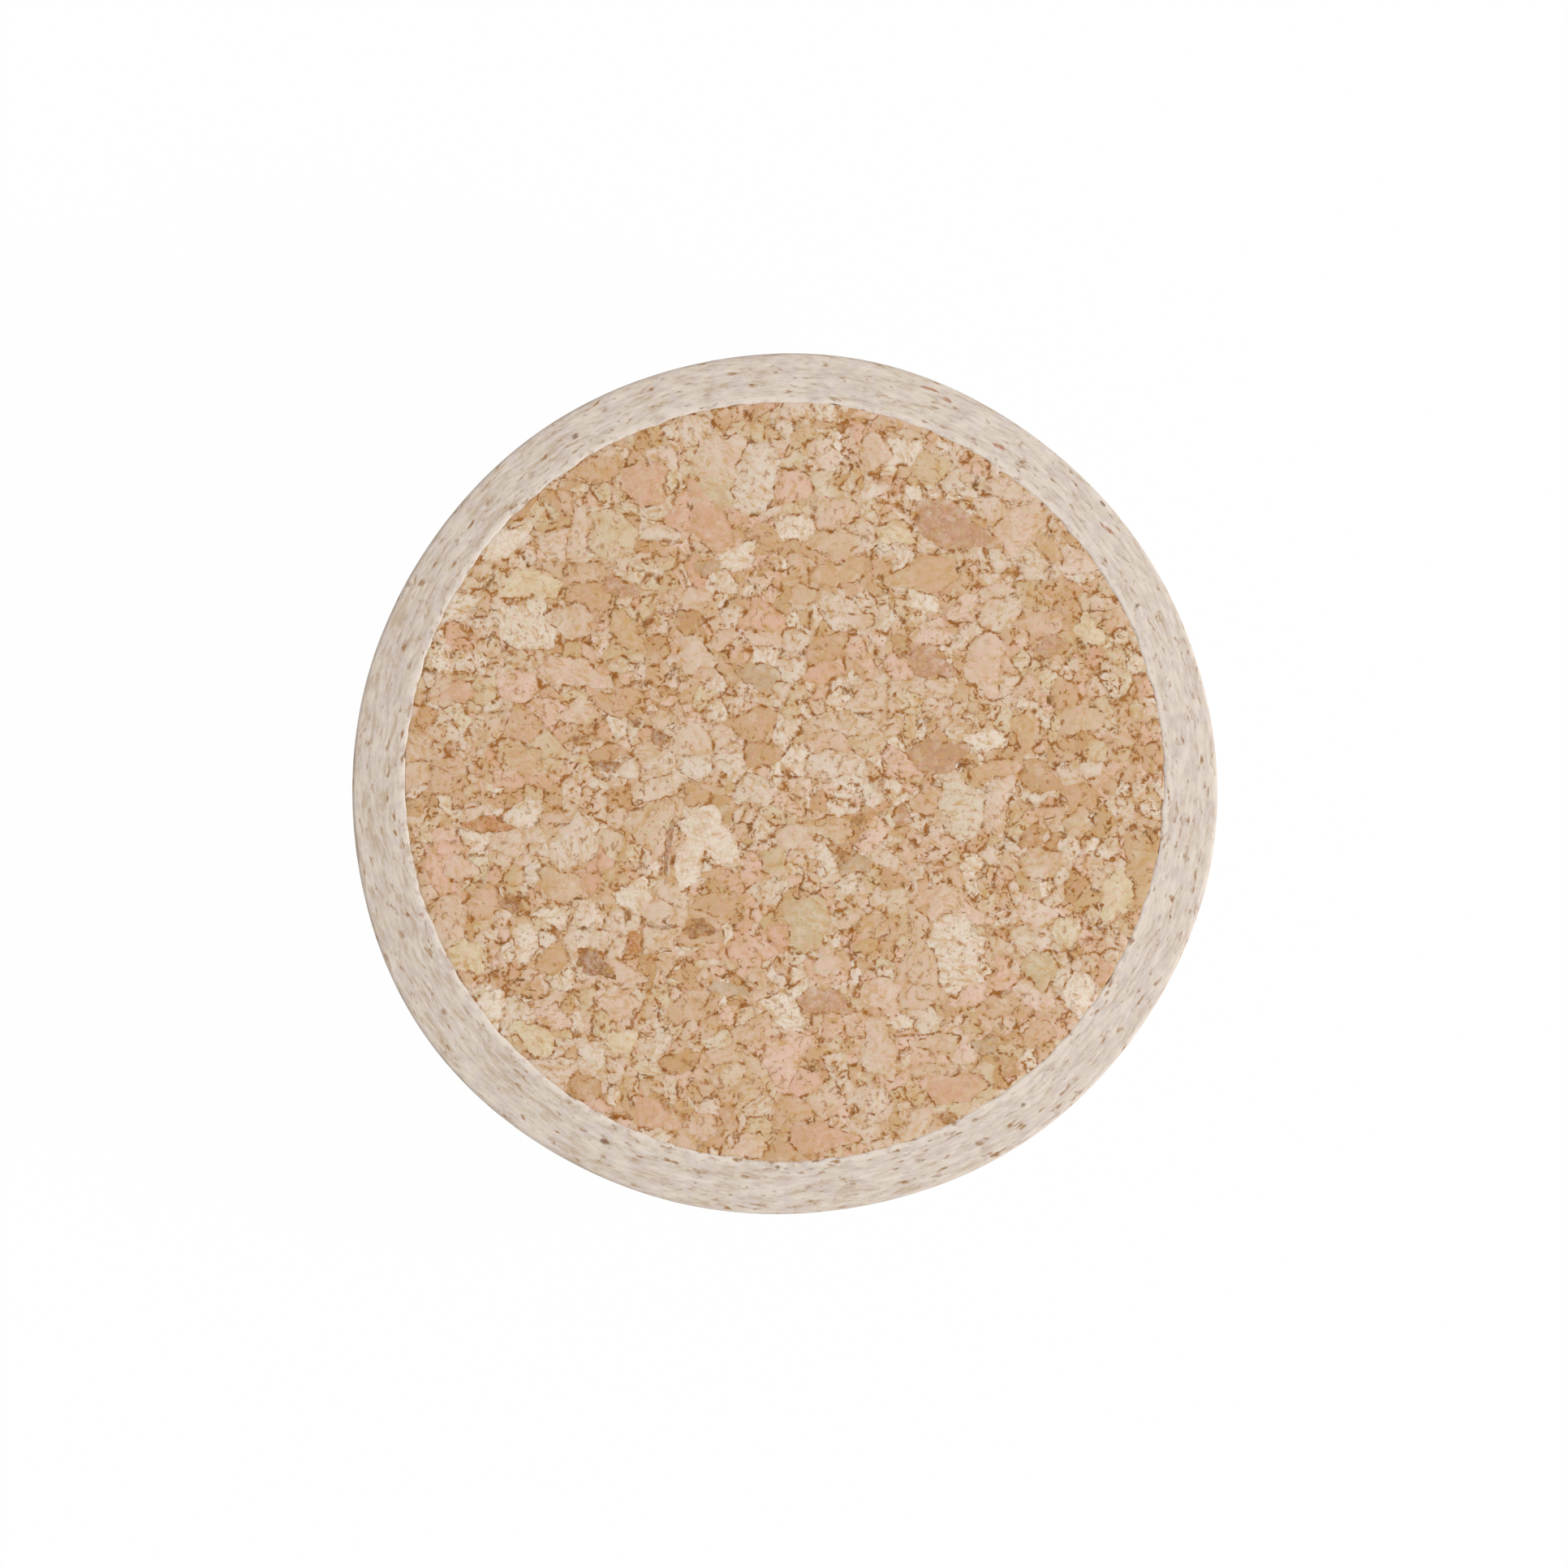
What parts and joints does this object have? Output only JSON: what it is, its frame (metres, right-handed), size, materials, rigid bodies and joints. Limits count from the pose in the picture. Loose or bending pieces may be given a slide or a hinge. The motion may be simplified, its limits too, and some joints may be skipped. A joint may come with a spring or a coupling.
{
  "type": "cork stopper",
  "caption": "Tapered agglomerated cork stopper with its flat top set flush in a thick hand-thrown stoneware collar that seats on a jar's rim.",
  "frame": {"origin": "centre of the cork's bottom face, on which the stopper stands", "axes": "+Z along the cork's axis, from its narrow bottom to its flat top; +X and +Y are the right and the top of the view from above, and the collar's thickest wall lies at 253 degrees from +X towards +Y"},
  "size_m": [0.0501, 0.0499, 0.0301],
  "materials": {
    "cork": "matte",
    "stoneware": "matte"
  },
  "bodies": {
    "root": {"cork_plug": "cork", "stoneware_collar": "stoneware"}
  },
  "joints": []
}
